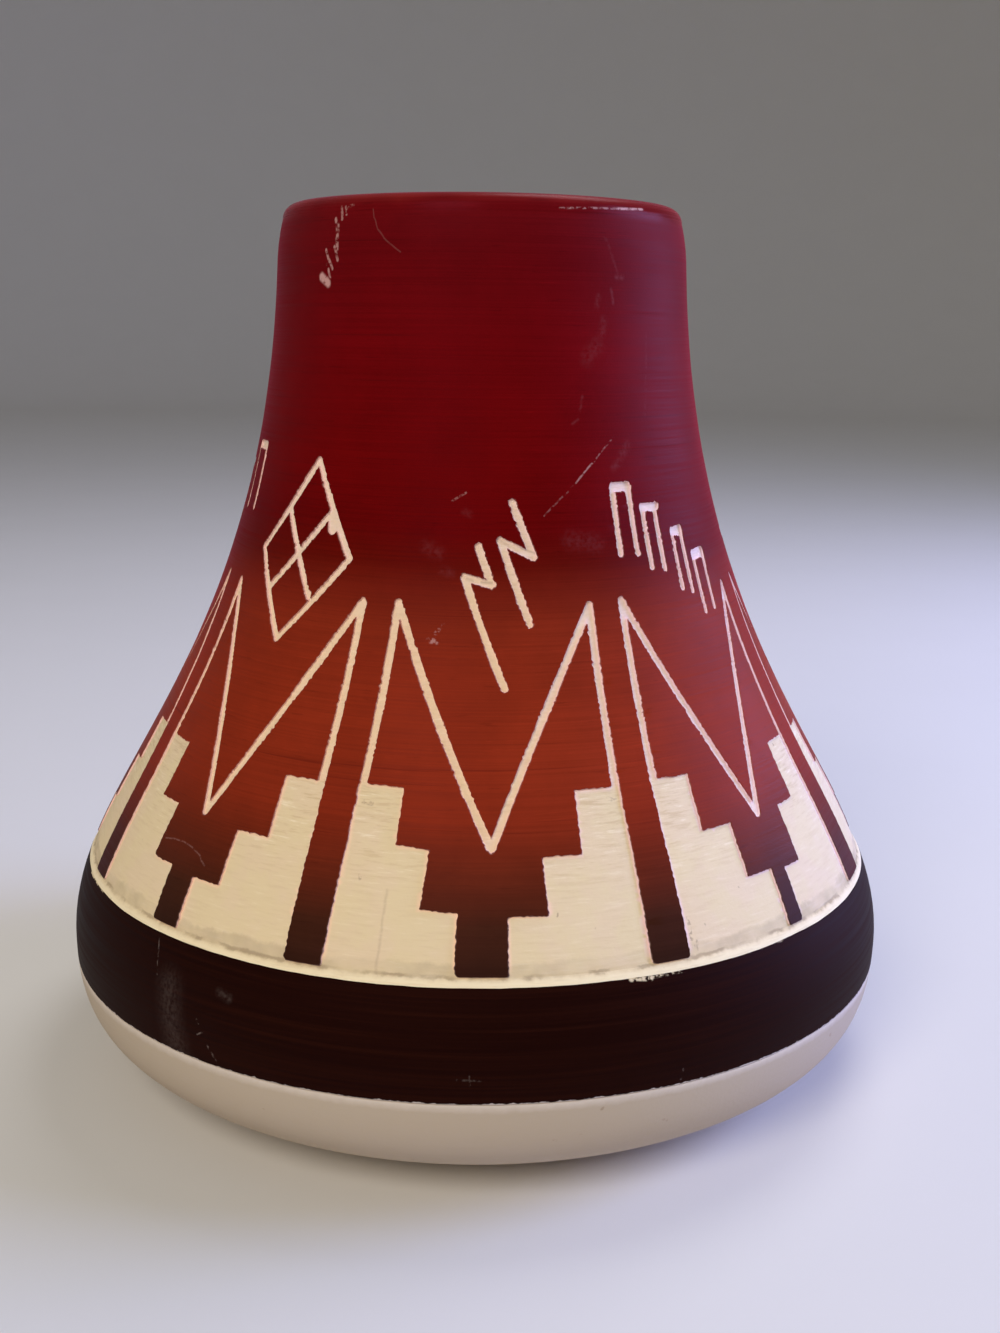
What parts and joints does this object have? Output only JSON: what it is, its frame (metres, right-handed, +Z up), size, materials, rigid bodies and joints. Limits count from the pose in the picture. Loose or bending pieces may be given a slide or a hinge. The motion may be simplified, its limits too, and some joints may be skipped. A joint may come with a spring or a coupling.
{
  "type": "pottery vase",
  "caption": "Bell-shaped pottery vase with a wide belly, a straight neck and an open mouth, whose coloured slip coats are carved through to the pale clay. It holds water and cut stems.",
  "frame": {"origin": "centre of the foot, on the surface that the vase stands on", "axes": "+Z up along the axis that the pot is turned on, -Y towards the front of the pictured view"},
  "size_m": [0.17, 0.17, 0.173],
  "materials": {
    "bare_clay": "matte fired pale clay with fine horizontal tool marks",
    "clear_glaze": "thin clear glaze over pale clay",
    "dark_slip": "satin near-black brown slip with light scuffs",
    "red_slip": "matte crimson slip with fine brush lines, sprayed darker at the shoulder",
    "brick_slip": "matte brick red slip, sprayed to near-black at its lower end"
  },
  "bodies": {
    "root": {"clay_body": "bare_clay", "glaze_lining": "clear_glaze", "band_coat": "dark_slip", "field_coat": "red_slip", "panel_coat_1": "brick_slip", "panel_coat_2": "brick_slip", "panel_coat_3": "brick_slip", "panel_coat_4": "brick_slip", "panel_coat_5": "brick_slip", "panel_coat_6": "brick_slip", "panel_coat_7": "brick_slip", "panel_coat_8": "brick_slip", "diamond_4_top": "red_slip", "diamond_4_right": "red_slip", "diamond_4_bottom": "red_slip", "diamond_4_left": "red_slip", "diamond_8_top": "red_slip", "diamond_8_right": "red_slip", "diamond_8_bottom": "red_slip", "diamond_8_left": "red_slip"}
  },
  "joints": []
}
